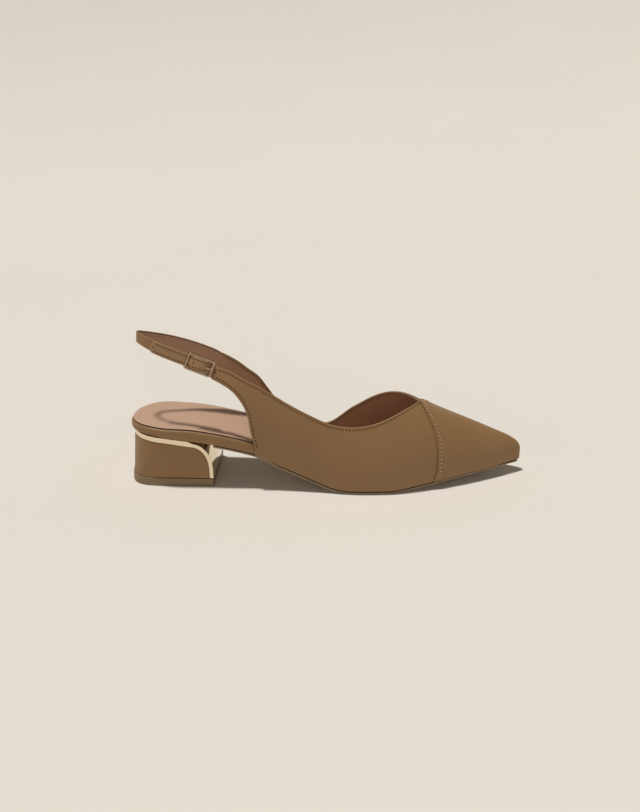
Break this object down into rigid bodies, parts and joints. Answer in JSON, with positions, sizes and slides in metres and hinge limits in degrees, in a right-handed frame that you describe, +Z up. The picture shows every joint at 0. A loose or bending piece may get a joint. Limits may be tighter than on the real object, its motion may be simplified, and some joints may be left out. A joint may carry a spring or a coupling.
{
  "type": "slingback sandal",
  "caption": "Pointed-toe slingback sandal for a right foot, with a toe cap, an open heel, a buckled heel strap and a low block heel trimmed with metal.",
  "frame": {"origin": "middle of the bounding box, on the floor", "axes": "+X toward the toe, +Y toward the inner side of the foot, +Z up"},
  "size_m": [0.264, 0.0706, 0.1003],
  "materials": {
    "upper_leather": "smooth satin camel leather",
    "footbed_leather": "smooth satin camel leather",
    "sock_leather": "matt pinkish beige leather",
    "outsole_rubber": "matt dark tan",
    "top_lift_rubber": "matt olive tan",
    "pale_gold_metal": "polished pale gold",
    "buckle_metal": "polished rose bronze"
  },
  "bodies": {
    "root": {"upper": "upper_leather", "toe_cap": "upper_leather", "sling_strap": "upper_leather", "buckle_strap": "upper_leather", "heel_block": "upper_leather", "insole": "footbed_leather", "sock_lining": "sock_leather", "outsole": "outsole_rubber", "top_lift": "top_lift_rubber", "heel_trim": "pale_gold_metal", "buckle": "buckle_metal", "buckle_prong": "buckle_metal"}
  },
  "joints": []
}
